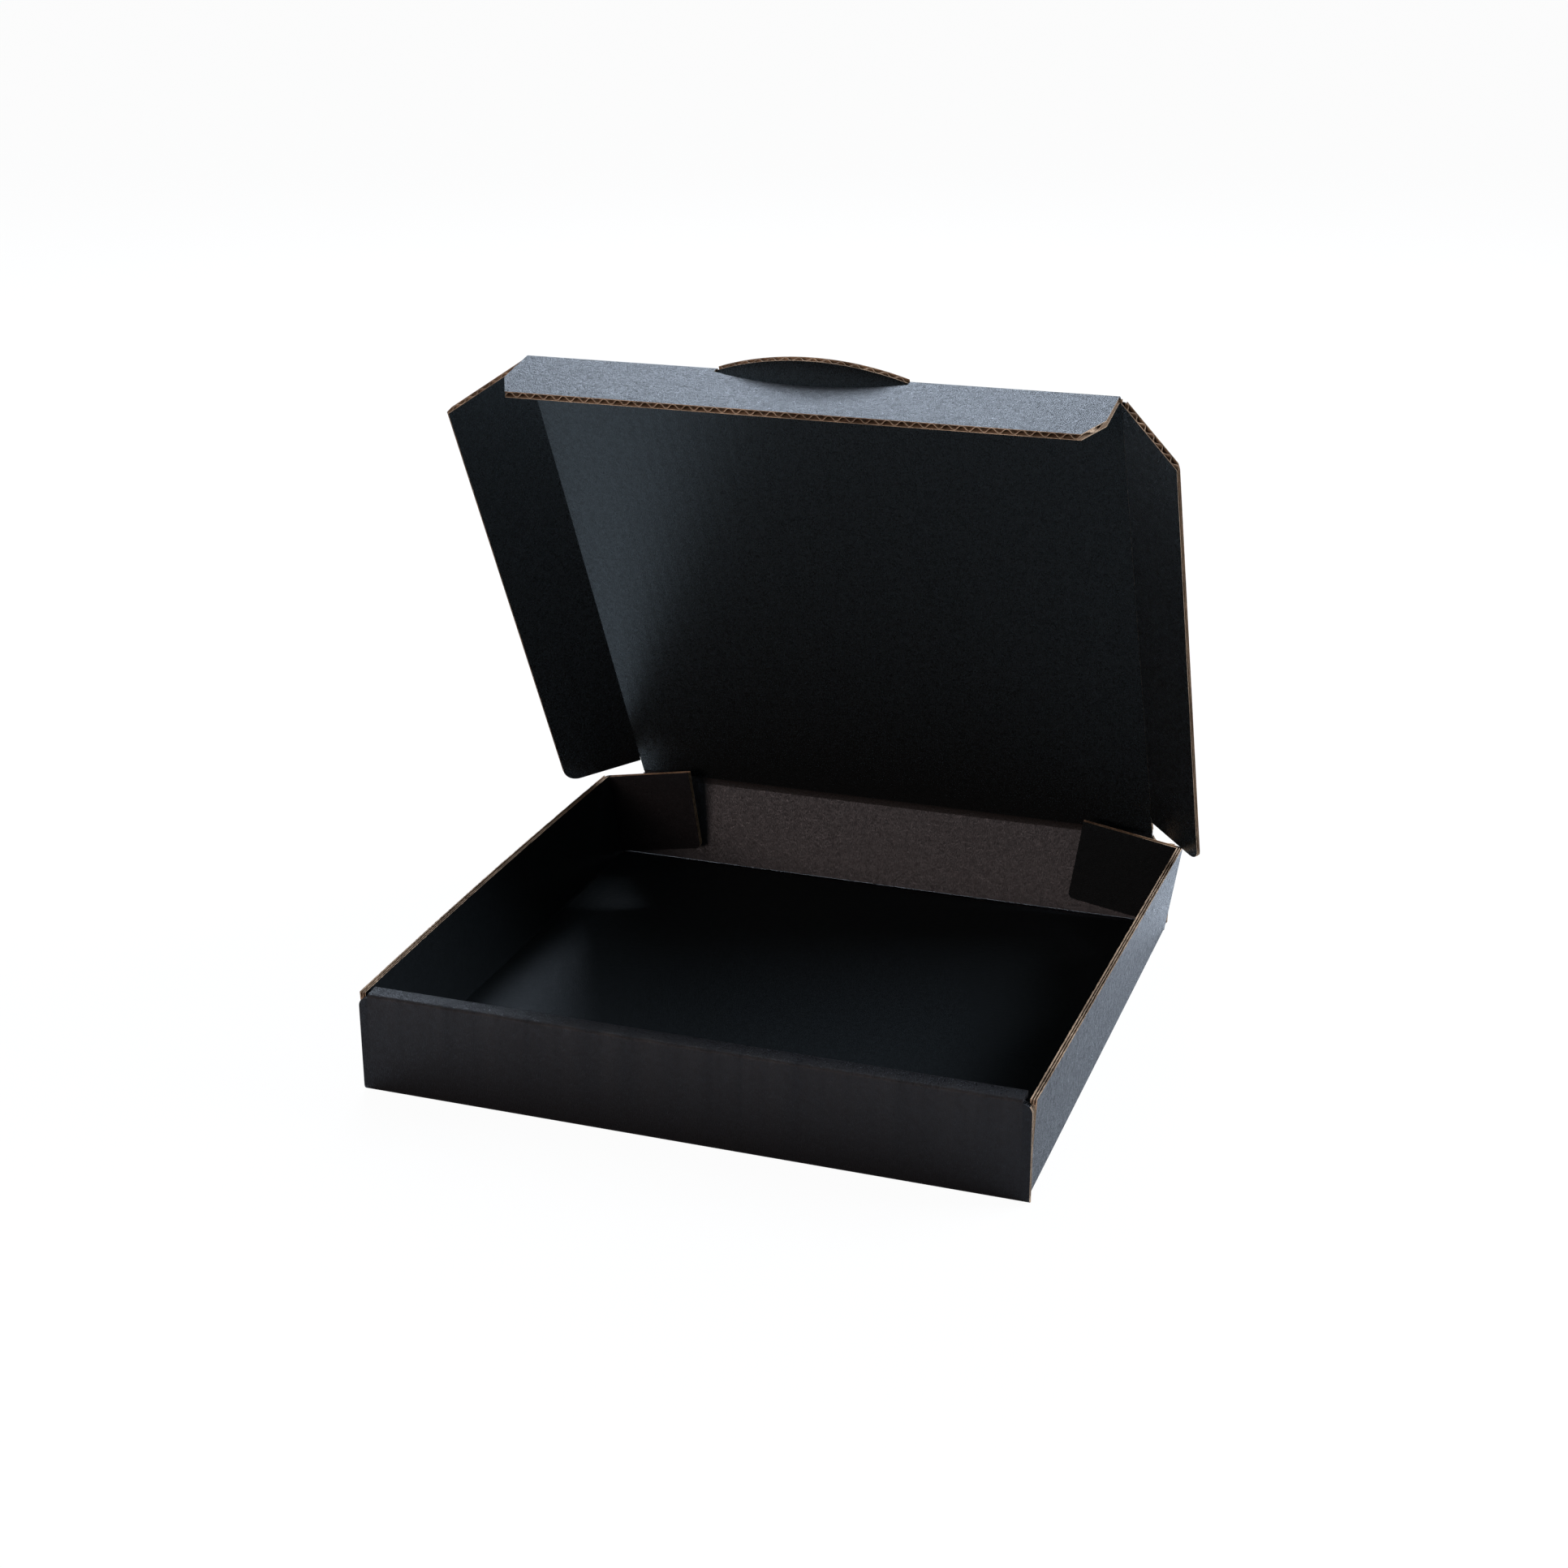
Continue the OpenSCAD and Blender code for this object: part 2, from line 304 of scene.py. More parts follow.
class NodeTree:
    """Small helper that lays out a material's nodes in order."""

    def __init__(self, name: str) -> None:
        self.material = bpy.data.materials.new(name)
        self.material.use_nodes = True
        self.tree = self.material.node_tree
        self.tree.nodes.clear()
        self.column = 0

    def add(self, kind: str, inputs: dict[str, object] | None = None,
            **settings: object) -> bpy.types.Node:
        """Add a node.

        Args:
            kind: Blender's node type.
            inputs: Socket values, or output sockets to link in.
            **settings: Attributes of the node.

        Returns:
            The new node.
        """
        node = self.tree.nodes.new(kind)
        node.location = (180 * self.column, 0)
        self.column += 1
        for key, value in settings.items():
            setattr(node, key, value)
        for key, value in (inputs or {}).items():
            socket = node.inputs[int(key)] if key.isdigit() else node.inputs[key]
            if isinstance(value, bpy.types.NodeSocket):
                self.tree.links.new(value, socket)
            else:
                socket.default_value = value
        return node

    def noise(self, coords: bpy.types.NodeSocket, scale: Triple | float, detail: float,
              roughness: float = 0.5) -> bpy.types.NodeSocket:
        """Add a noise texture.

        Args:
            coords: Coordinates to read.
            scale: One scale, or one for each axis.
            detail: Octaves of the noise.
            roughness: Weight of the finer octaves.

        Returns:
            The noise's value.
        """
        if isinstance(scale, tuple):
            coords = self.add("ShaderNodeMapping", {"Vector": coords, "Scale": scale}).outputs["Vector"]
            scale = 1.0
        node = self.add("ShaderNodeTexNoise", {
            "Vector": coords, "Scale": scale, "Detail": detail, "Roughness": roughness})
        return node.outputs["Fac"]

    def maths(self, operation: str, *values: bpy.types.NodeSocket | float) -> bpy.types.NodeSocket:
        """Add a maths node and return its value."""
        inputs = {str(place): value for place, value in enumerate(values)}
        return self.add("ShaderNodeMath", inputs, operation=operation).outputs[0]

    def spread(self, value: bpy.types.NodeSocket, low: float, high: float) -> bpy.types.NodeSocket:
        """Map the middle of a noise's range to two values."""
        node = self.add("ShaderNodeMapRange", {
            "Value": value, "From Min": NOISE_LOW, "From Max": NOISE_HIGH, "To Min": low, "To Max": high})
        return node.outputs["Result"]

    def ramp(self, factor: bpy.types.NodeSocket,
             stops: Sequence[tuple[float, Triple]]) -> bpy.types.NodeSocket:
        """Colour ramp through the given stops."""
        node = self.add("ShaderNodeValToRGB", {"Fac": factor})
        elements = node.color_ramp.elements
        while len(elements) < len(stops):
            elements.new(0.5)
        for element, (place, colour) in zip(elements, stops):
            element.position = place
            element.color = (*colour, 1.0)
        return node.outputs["Color"]


@dataclass(frozen=True)
class BlackPaper:
    """Black printed liner: soft sheen, paper fibres and a faint washboard from the flutes."""

    name: str
    dark: Triple
    pale: Triple
    gloss: float
    rough: float
    ribs: float
    grain: float
    tint: Triple = (0.9, 0.95, 1.0)
    # Colour the creases are lightened towards: rubbed paper and a painted highlight together.
    worn: Triple = (0.085, 0.074, 0.066)
    pitch: float = 6.35

    def material(self) -> bpy.types.Material:
        """Build the material."""
        n = NodeTree(self.name)
        place = n.add("ShaderNodeTexCoord")
        uv = place.outputs["UV"]
        fibre = n.noise(uv, (2600.0, 700.0, 1.0), 3.0)
        streak = n.noise(uv, (420.0, 9.0, 1.0), 2.0)
        cloud = n.noise(place.outputs["Object"], 420.0, 5.0, 0.7)
        pulp = n.maths("ADD", fibre, cloud)
        mean = n.maths("MULTIPLY", n.maths("MULTIPLY_ADD", streak, 0.1, pulp), 0.476)
        paper = n.ramp(mean, [(NOISE_LOW, self.dark), (NOISE_HIGH, self.pale)])
        # Creases lightened towards that colour in fibre-shaped patches, by the crease attribute: rubbed
        # paper and a painted highlight.
        wear = n.add("ShaderNodeAttribute", attribute_name="wear")
        patchy = n.maths("MULTIPLY", wear.outputs["Fac"], fibre)
        colour = n.add("ShaderNodeMix", {"Factor": patchy, "A": paper, "B": (*self.worn, 1.0)},
                       data_type="RGBA")
        across = n.add("ShaderNodeSeparateXYZ", {"Vector": uv}).outputs["X"]
        wave = n.maths("SINE", n.maths("MULTIPLY", across, 2 * math.pi / (self.pitch * MM)))
        board = n.add("ShaderNodeBump", {
            "Height": n.maths("MULTIPLY_ADD", wave, 0.5, streak), "Strength": self.ribs, "Distance": 0.0003})
        grain = n.add("ShaderNodeBump", {
            "Height": pulp, "Strength": self.grain, "Distance": 0.0004, "Normal": board.outputs["Normal"]})
        shader = n.add("ShaderNodeBsdfPrincipled", {
            "Base Color": colour.outputs["Result"],
            "Roughness": n.spread(mean, self.rough - 0.12 * self.grain, self.rough + 0.17 * self.grain),
            "Specular IOR Level": n.spread(mean, self.gloss * 1.35, self.gloss * 0.65),
            "Specular Tint": (*self.tint, 1.0), "IOR": 1.45, "Normal": grain.outputs["Normal"]})
        n.add("ShaderNodeOutputMaterial", {"Surface": shader.outputs["BSDF"]})
        return n.material


@dataclass(frozen=True)
class KraftCore:
    """Unprinted brown paper at cut edges and inside the flutes."""

    name: str = "kraft_core"
    dark: Triple = (0.13, 0.080, 0.046)
    pale: Triple = (0.46, 0.31, 0.195)

    def material(self) -> bpy.types.Material:
        """Build the material."""
        n = NodeTree(self.name)
        place = n.add("ShaderNodeTexCoord").outputs["Object"]
        fine = n.noise(place, 900.0, 4.0)
        wide = n.noise(place, 70.0, 2.0)
        colour = n.ramp(n.maths("MULTIPLY", fine, wide), [(0.1, self.dark), (0.42, self.pale)])
        bump = n.add("ShaderNodeBump", {"Height": fine, "Strength": 0.5, "Distance": 0.0002})
        shader = n.add("ShaderNodeBsdfPrincipled", {
            "Base Color": colour, "Normal": bump.outputs["Normal"], "Roughness": 0.85,
            "Specular IOR Level": 0.25})
        n.add("ShaderNodeOutputMaterial", {"Surface": shader.outputs["BSDF"]})
        return n.material


@dataclass(frozen=True)
class StudioWhite:
    """White floor that keeps a soft shadow of the box."""

    name: str = "studio_white"
    colour: Triple = (0.9, 0.9, 0.9)
    glow: float = 0.965

    def material(self) -> bpy.types.Material:
        """Build the material."""
        n = NodeTree(self.name)
        paper = n.add("ShaderNodeBsdfDiffuse", {"Color": (*self.colour, 1.0)})
        white = n.add("ShaderNodeEmission", {"Strength": 1.0})
        path = n.add("ShaderNodeLightPath")
        share = n.maths("MULTIPLY", path.outputs["Is Camera Ray"], self.glow)
        mix = n.add("ShaderNodeMixShader", {"0": share, "1": paper.outputs[0], "2": white.outputs[0]})
        n.add("ShaderNodeOutputMaterial", {"Surface": mix.outputs[0]})
        return n.material


class Finishes:
    """The materials that every board piece carries, in the order of Skin."""

    def __init__(self) -> None:
        outside = BlackPaper("black_outside", dark=(0.0042, 0.0038, 0.0040), pale=(0.0090, 0.0082, 0.0086),
                             gloss=0.16, rough=0.35, ribs=0.015, grain=0.9)
        inside = BlackPaper("black_inside", dark=(0.0060, 0.0070, 0.0072), pale=(0.0115, 0.0130, 0.0133),
                            gloss=0.40, rough=0.27, ribs=0.04, grain=0.16, tint=(0.74, 0.92, 0.98))
        # Back wall's inner paper: the inside paper with stronger washboard ribs and sheen, and a lighter,
        # warmer colour that paints in the light the leaning wall catches.
        ribbed = BlackPaper("black_ribbed", dark=(0.0075, 0.0068, 0.0068), pale=(0.0190, 0.0170, 0.0170),
                            gloss=0.58, rough=0.38, ribs=0.34, grain=0.6)
        # Tray floor and inner walls: the inside paper with little sheen, made lighter to paint in fill light
        # in the shaded tray.
        floor = BlackPaper("black_floor", dark=(0.0075, 0.0083, 0.0085), pale=(0.0140, 0.0155, 0.0160),
                           gloss=0.05, rough=0.46, ribs=0.04, grain=0.3)
        papers = {Skin.OUTSIDE: outside, Skin.KRAFT: KraftCore(), Skin.INSIDE: inside,
                  Skin.RIBBED: ribbed, Skin.FLOOR: floor}
        self.slots = [papers[skin].material() for skin in Skin]

    def dress(self, obj: bpy.types.Object) -> None:
        """Give a piece its paper and kraft slots."""
        for material in self.slots:
            obj.data.materials.append(material)


def publish(name: str, bm: bmesh.types.BMesh, finishes: Finishes, smooth: float) -> bpy.types.Object:
    """Turn a finished bmesh, in millimetres of the row frame, into an object at the origin.

    Args:
        name: Name of the piece.
        bm: Mesh, freed here.
        finishes: Materials of the board.
        smooth: Largest angle to shade across, in degrees.

    Returns:
        The new object.
    """
    bmesh.ops.scale(bm, vec=(MM, MM, MM), verts=bm.verts)
    for face in bm.faces:
        face.smooth = True
    for edge in bm.edges:
        edge.smooth = edge.is_manifold and edge.calc_face_angle(math.pi) < math.radians(smooth)
    mesh = bpy.data.meshes.new(name)
    bm.to_mesh(mesh)
    bm.free()
    obj = bpy.data.objects.new(name, mesh)
    bpy.context.scene.collection.objects.link(obj)
    finishes.dress(obj)
    log.info("%s: %d faces", name, len(mesh.polygons))
    return obj


def lay_uv(bm: bmesh.types.BMesh, place: Callable[[Vector], Point2]) -> None:
    """Write a board map: u across the flutes and v along them, in metres.

    Args:
        bm: Mesh in millimetres.
        place: Gives a point's (u, v) in millimetres.
    """
    layer = bm.loops.layers.uv.verify()
    for face in bm.faces:
        for loop in face.loops:
            u, v = place(loop.vert.co)
            loop[layer].uv = (u * MM, v * MM)


@dataclass
class BoardPanel:
    """Flat panel of fluted board: two liners and the fluted sheet between them.

    Local x runs across the flutes, y along them, and z from the inner face to the outer face.
    """

    name: str
    outline: list[Point2]
    place: Matrix
    board: BoardStock
    inner_skin: Skin = Skin.INSIDE
    pinch: float = 0.0
    pinch_w: float = 3.0

    def build(self, finishes: Finishes) -> bpy.types.Object:
        """Model the panel and put it in its place.

        Args:
            finishes: Materials of the board.

        Returns:
            The panel's object.
        """
        bm = bmesh.new()
        self._liner(bm, 0.0, self.board.liner, outer=False)
        self._liner(bm, self.board.thickness - self.board.liner, self.board.thickness, outer=True)
        self._medium(bm)
        if self.pinch:
            self._pinch(bm)
        lay_uv(bm, lambda p: (p.x, p.y))
        bmesh.ops.transform(bm, matrix=self.place, verts=bm.verts)
        return publish(self.name, bm, finishes, smooth=40)

    def _liner(self, bm: bmesh.types.BMesh, low: float, high: float, outer: bool) -> None:
        """Add one liner between two levels, black on its outward face."""
        verts = [bm.verts.new((x, y, low)) for x, y in self.outline]
        base = bm.faces.new(verts)
        raised = bmesh.ops.extrude_face_region(bm, geom=[base], use_keep_orig=True)["geom"]
        top = [v for v in raised if isinstance(v, bmesh.types.BMVert)]
        bmesh.ops.translate(bm, vec=(0, 0, high - low), verts=top)
        faces = list({f for v in verts + top for f in v.link_faces})
        bmesh.ops.recalc_face_normals(bm, faces=faces)
        seen, skin = (1, Skin.OUTSIDE) if outer else (-1, self.inner_skin)
        for face in faces:
            face.material_index = skin if face.normal.z * seen > 0.5 else Skin.KRAFT

    def _pinch(self, bm: bmesh.types.BMesh) -> None:
        """Press the board together along its free edge, as the cutting die leaves it."""
        edge = max((x for x, _ in self.outline), key=abs)
        line = edge - math.copysign(self.pinch_w, edge)
        geom = list(bm.verts) + list(bm.edges) + list(bm.faces)
        bmesh.ops.bisect_plane(bm, geom=geom, dist=0.001, plane_co=(line, 0, 0), plane_no=(1, 0, 0))
        for vert in bm.verts:
            over = (abs(vert.co.x) - abs(line)) / self.pinch_w
            if over > 0:
                vert.co.z *= 1 - self.pinch * min(1.0, over)

    def _medium(self, bm: bmesh.types.BMesh) -> None:
        """Add the fluted sheet, cut to the outline."""
        low = min(x for x, _ in self.outline) + 0.15
        high = max(x for x, _ in self.outline) - 0.15
        count = max(2, round((high - low) / self.board.pitch * self.board.steps))
        liners = set(bm.faces)
        xs = [low + (high - low) * i / count for i in range(count + 1)]
        rail = [bm.verts.new((x, span_at(self.outline, x)[1], self.board.wave(x))) for x in xs]
        edges = [bm.edges.new(pair) for pair in zip(rail, rail[1:])]
        drawn = bmesh.ops.extrude_edge_only(bm, edges=edges)["geom"]
        for vert in (g for g in drawn if isinstance(g, bmesh.types.BMVert)):
            vert.co.y = span_at(self.outline, vert.co.x)[0]
        faces = [g for g in drawn if isinstance(g, bmesh.types.BMFace)]
        bmesh.ops.recalc_face_normals(bm, faces=faces)
        bmesh.ops.solidify(bm, geom=faces, thickness=self.board.medium)
        for face in set(bm.faces) - liners:
            face.material_index = Skin.KRAFT


@dataclass(frozen=True)
class Fold:
    """A fold line between two panels, in millimetres of the row frame."""

    axis: Vector
    into_parent: Vector
    parent_out: Vector
    into_child: Vector
    child_out: Vector
    edge: float
    lap: float = 0.3
    sink: float = 0.012
    steps: int = 10

    def outer_path(self, radius: float) -> list[Vector]:
        """Path of the paper round the outside of the fold, from parent to child."""
        r = radius - self.sink
        near = self.axis + self.parent_out * r + self.into_parent * (self.edge + self.lap)
        far = self.axis + self.child_out * r + self.into_child * (self.edge + self.lap)
        bend = [self.parent_out.slerp(self.child_out, i / self.steps) for i in range(self.steps + 1)]
        return [near] + [self.axis + d * r for d in bend] + [far]

    def inner_path(self, radius: float) -> list[Vector]:
        """Path of the paper through the hollow side of the fold, from parent to child."""
        r = radius - self.sink
        near = self.axis - self.parent_out * r + self.into_parent * (self.edge + self.lap)
        far = self.axis - self.child_out * r + self.into_child * (self.edge + self.lap)
        middle = -(self.parent_out + self.child_out).normalized()
        half = self.parent_out.angle(self.child_out) / 2
        return [near, self.axis + middle * (r / math.cos(half)), far]

    def start(self) -> Vector:
        """Where the bend leaves the parent."""
        return self.axis + self.into_parent * self.edge

    def end(self) -> Vector:
        """Where the bend reaches the child."""
        return self.axis + self.into_child * self.edge


@dataclass
class FoldStrip:
    """Paper that runs on through a fold and bends between the two panels beside it."""

    name: str
    parent: str
    child: str
    path: list[Vector]
    run: Vector
    start: Vector
    end: Vector
    thick: float = 0.3
    # How far the whole strip is lightened: rubbed paper and a painted highlight on the crease.
    worn: float = 0.35

    def build(self, finishes: Finishes) -> bpy.types.Object:
        """Model the strip round its fold.

        Args:
            finishes: Materials of the board.

        Returns:
            The strip's object.
        """
        bm = bmesh.new()
        rail = [bm.verts.new(p) for p in self.path]
        edges = [bm.edges.new(pair) for pair in zip(rail, rail[1:])]
        drawn = bmesh.ops.extrude_edge_only(bm, edges=edges)["geom"]
        far = [g for g in drawn if isinstance(g, bmesh.types.BMVert)]
        bmesh.ops.translate(bm, vec=self.run, verts=far)
        faces = [g for g in drawn if isinstance(g, bmesh.types.BMFace)]
        bmesh.ops.recalc_face_normals(bm, faces=faces)
        bmesh.ops.solidify(bm, geom=faces, thickness=self.thick)
        bmesh.ops.recalc_face_normals(bm, faces=bm.faces)
        lay_uv(bm, lambda p: (p.x, p.y + p.z))
        # Same lightening on every vertex: rubbed paper and a painted highlight.
        wear = bm.verts.layers.float.new("wear")
        for vert in bm.verts:
            vert[wear] = self.worn
        obj = publish(self.name, bm, finishes, smooth=60)
        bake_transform(obj)
        return obj


@dataclass
class Tray:
    """Folded tray: floor with side walls, back wall and rolled front.

    Plies are given as depths from the outer face, with how far each lies below the cut.
    """

    s: MailerSizes
    finishes: Finishes
    body: str = "tray"
    wall_plies: tuple[Triple, ...] = ((0.0, 0.5, 0.0), (1.3, 1.6, 0.2), (2.45, 2.8, 0.0))
    end_plies: tuple[Point2, ...] = ((0.0, 0.5), (1.2, 1.55), (2.35, 2.8))
    groove: float = 2.4
    groove_draft: float = 0.05
    fray_up: float = 0.22
    fray_out: float = 0.16
    left_bow: float = 1.5
    # Reach of the lightened paper at the ridge's front and rear creases: rubbed paper and a painted
    # highlight.
    front_rub: float = 2.2
    rear_rub: float = 1.6
    crease_ripple: float = 0.55

    def build(self) -> None:
        """Build every piece of the tray."""
        pan = self._pan()
        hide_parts("tray")
        for piece in (pan, self._rolled_front(), self._back_fold(), self._back_wall(), *self._front_ends()):
            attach(piece, self.body)

    def _cut_edge(self) -> list[Point2]:
        """Depth and height across a cut upper edge: the plies, with grooves between them."""
        points: list[Point2] = []
        for near, far, sink in self.wall_plies:
            points += [(near - self.groove_draft, -self.groove), (near, -sink)]
            points += [(far, -sink), (far + self.groove_draft, -self.groove)]
        return points[1:-1]

    def _section(self, y: float) -> list[Vector]:
        """Closed section of floor and side walls at one place along the tray."""
        s = self.s
        t, half, top = s.t, s.inside_w / 2, s.wall_h
        spread = s.side_spread(y)
        lean = spread / (top - t)
        middle = (top + t) / 2
        right = arc((half, t), t, -90, 0, 6) + [(half + t + spread / 2, middle)]
        right += [(half + t + spread - d + lean * h, top + h) for d, h in self._cut_edge()]
        right += [(half + spread / 2, middle), (half + 0.1, t + 0.7), (half - 0.7, t)]
        left = [(-x, z) for x, z in reversed(right)]
        return [Vector((x, y, z)) for x, z in right + left]

    def _pan(self) -> bpy.types.Object:
        """Floor and side walls, drawn along the tray from one section to the other."""
        s = self.s
        near, far = self._section(s.side_front_y), self._section(s.side_rear_y)
        bm = bmesh.new()
        cap = bm.faces.new([bm.verts.new(p) for p in near])
        drawn = bmesh.ops.extrude_face_region(bm, geom=[cap], use_keep_orig=True)["geom"]
        ends = {(round(p.x, 4), round(p.z, 4)): q for p, q in zip(near, far)}
        for vert in (g for g in drawn if isinstance(g, bmesh.types.BMVert)):
            vert.co = ends[(round(vert.co.x, 4), round(vert.co.z, 4))]
        long_edges = [e for e in bm.edges if abs(e.verts[0].co.y - e.verts[1].co.y) > 1]
        bmesh.ops.subdivide_edges(bm, edges=long_edges, cuts=220, use_grid_fill=True)
        bmesh.ops.recalc_face_normals(bm, faces=bm.faces)
        lay_uv(bm, lambda p: (p.x + math.copysign(p.z, p.x), p.y))
        for face in bm.faces:
            face.material_index = self._pan_skin(face)
        self._weather(bm)
        return publish("tray_pan", bm, self.finishes, smooth=30)

    def _weather(self, bm: bmesh.types.BMesh) -> None:
        """Fray the cut upper edges and let the left wall bow outwards a little."""
        s = self.s
        for vert in bm.verts:
            co = vert.co
            along = (co.y - s.side_front_y) / (s.side_rear_y - s.side_front_y)
            up = co.z / s.wall_h
            if co.z > s.wall_h - 0.6 and 0.01 < along < 0.99:
                co.z += self.fray_up * noise.noise((co.x * 1.3, co.y * 0.9, 1.0))
                co.x += self.fray_out * noise.noise((co.x * 1.7, co.y * 0.6, 7.0))
            if co.x < 0 and up > 0.1:
                co.x -= self.left_bow * math.sin(math.pi * along) * up * up

    def _pan_skin(self, face: bmesh.types.BMFace) -> Skin:
        """Kraft on cut edges, and the liner of the side that a face looks to elsewhere."""
        s = self.s
        mid = face.calc_center_median()
        if abs(face.normal.y) > 0.9:
            return Skin.KRAFT
        share = max(0.0, mid.z - s.t) / (s.wall_h - s.t)
        depth = s.inside_w / 2 + s.t + s.side_spread(mid.y) * share - abs(mid.x)
        if mid.z > s.wall_h - self.groove - 0.2 and 0.05 < depth < s.t - 0.05:
            return Skin.KRAFT
        facing_out = face.normal.z < -0.1 or face.normal.x * mid.x > 0
        return Skin.OUTSIDE if facing_out else Skin.FLOOR

    def _draw_along_x(self, profile: Sequence[Point2], width: float, cuts: int) -> bmesh.types.BMesh:
        """Draw a closed YZ profile along X, centred.

        Args:
            profile: Points (y, z) in order.
            width: Length along X.
            cuts: Loops added along the length.

        Returns:
            The mesh.
        """
        bm = bmesh.new()
        cap = bm.faces.new([bm.verts.new((-width / 2, y, z)) for y, z in profile])
        drawn = bmesh.ops.extrude_face_region(bm, geom=[cap], use_keep_orig=True)["geom"]
        far = [g for g in drawn if isinstance(g, bmesh.types.BMVert)]
        bmesh.ops.translate(bm, vec=(width, 0, 0), verts=far)
        long_edges = [e for e in bm.edges if abs(e.verts[0].co.x - e.verts[1].co.x) > 1]
        bmesh.ops.subdivide_edges(bm, edges=long_edges, cuts=cuts, use_grid_fill=True)
        bmesh.ops.recalc_face_normals(bm, faces=bm.faces)
        for face in bm.faces:
            face.material_index = Skin.KRAFT if abs(face.normal.x) > 0.9 else Skin.OUTSIDE
        return bm

    @staticmethod
    def _push(bm: bmesh.types.BMesh, cap: bmesh.types.BMFace, run: Vector) -> None:
        """Draw a face out along a vector into a closed block."""
        drawn = bmesh.ops.extrude_face_region(bm, geom=[cap], use_keep_orig=True)["geom"]
        far = [g for g in drawn if isinstance(g, bmesh.types.BMVert)]
        bmesh.ops.translate(bm, vec=run, verts=far)

    def _rolled_front(self) -> bpy.types.Object:
        """Outer panel, ridge and inner panel, rolled from one strip of board."""
        s = self.s
        t, r = s.t, s.crease_r
        front, rear = s.front_y, s.front_inside_y
        low, high = s.ridge_z - s.ridge_drop, s.ridge_z
        slope = (high - low) / (rear - front)
        profile = [(front + t, 0.0)]
        profile += arc((front + t, t), t, -90, -180, 6)
        profile += arc((front + r, low - r), r, 180, 90, 6)
        profile += arc((rear - r, high - r), r, 90, 0, 6)
        profile += [(rear, t + s.layer), (s.inner_panel_y, t + s.layer)]
        profile += [(s.inner_panel_y, low - t + slope * (s.inner_panel_y - front))]
        profile += [(front + t, low - t + slope * t), (front + t, t)]
        bm = self._draw_along_x(profile, s.ridge_w, 160)
        lay_uv(bm, lambda p: (p.x, p.y + p.z))
        # Lighter paper along the ridge's front and rear creases, wavy at the front: rubbed paper and a
        # painted highlight where the ridge catches light.
        wear = bm.verts.layers.float.new("wear")
        for vert in bm.verts:
            co = vert.co
            near = max(0.0, 1.0 - math.hypot(co.y - front, co.z - low) / self.front_rub)
            rear_near = max(0.0, 1.0 - math.hypot(co.y - rear, co.z - high) / self.rear_rub)
            ripple = noise.noise((co.x * 0.11, 3.0, 0.0)) + 0.6 * noise.noise((co.x * 0.37, 9.0, 0.0))
            vert[wear] = min(1.0, near * (0.55 + 0.5 * ripple) + 0.5 * rear_near)
            co.z += self.crease_ripple * near * ripple
        for face in bm.faces:
            face.material_index = Skin.OUTSIDE
        return publish("rolled_front", bm, self.finishes, smooth=40)

    def _front_ends(self) -> list[bpy.types.Object]:
        """Ends of the outer front panel, which stand past the ridge."""
        s = self.s
        pieces = []
        for side in Side:
            inner, outer = s.ridge_w / 2, s.front_w / 2
            top = s.ridge_z - s.ridge_drop - s.crease_r
            r = s.corner_r
            outline = [(inner, s.t), (outer, s.t)]
            outline += arc((outer - r, top - r), r, 0, 90, 8) + [(inner, top)]
            bm = bmesh.new()
            for near, far in self.end_plies:
                y = s.front_y + near
                cap = bm.faces.new([bm.verts.new((side * x, y, z)) for x, z in outline])
                self._push(bm, cap, Vector((0, far - near, 0)))
            foot = [(s.front_y + s.t, s.t)] + arc((s.front_y + s.t, s.t), s.t, -90, -180, 6)
            cap = bm.faces.new([bm.verts.new((side * inner, y, z)) for y, z in foot])
            self._push(bm, cap, Vector((side * (outer - inner), 0, 0)))
            bmesh.ops.recalc_face_normals(bm, faces=bm.faces)
            lay_uv(bm, lambda p: (p.x, p.z))
            for face in bm.faces:
                face.material_index = Skin.KRAFT if abs(face.normal.x) > 0.75 else Skin.OUTSIDE
            pieces.append(publish(f"front_end_{side.word}", bm, self.finishes, smooth=30))
        return pieces

    def _back_fold(self) -> bpy.types.Object:
        """Rear strip of the floor and the fold up into the back wall."""
        s = self.s
        t, foot = s.t, s.tray_d / 2
        lean = math.degrees(math.atan2(s.back_lean, s.hinge_z - t))
        profile = [(s.side_rear_y, 0.0)] + arc((foot - t, t), t, -90, -lean, 6)
        profile += [(foot - t, t), (s.side_rear_y, t)]
        bm = self._draw_along_x(profile, s.inside_w, 20)
        lay_uv(bm, lambda p: (p.x, p.y + p.z))
        return publish("back_fold", bm, self.finishes, smooth=40)

    def _back_wall(self) -> bpy.types.Object:
        """Leaning back wall with a relief cut at each end of the hinge."""
        s = self.s
        half, hinge = s.tray_w / 2, s.lid_w / 2
        top = -(s.t / 2 + s.gap)
        lean = math.atan2(s.back_lean, s.hinge_z - s.t)
        foot = -(s.hinge_z - s.t) / math.cos(lean)
        r = s.relief_r
        right = [(half, foot), (half, -r)] + arc((hinge + r, 0), r, -90, -180 + 12, 8) + [(hinge, top)]
        outline = right + [(-x, y) for x, y in reversed(right)]
        wall = BoardPanel("back_wall", outline, s.back_frame(), s.board, Skin.RIBBED)
        return wall.build(self.finishes)


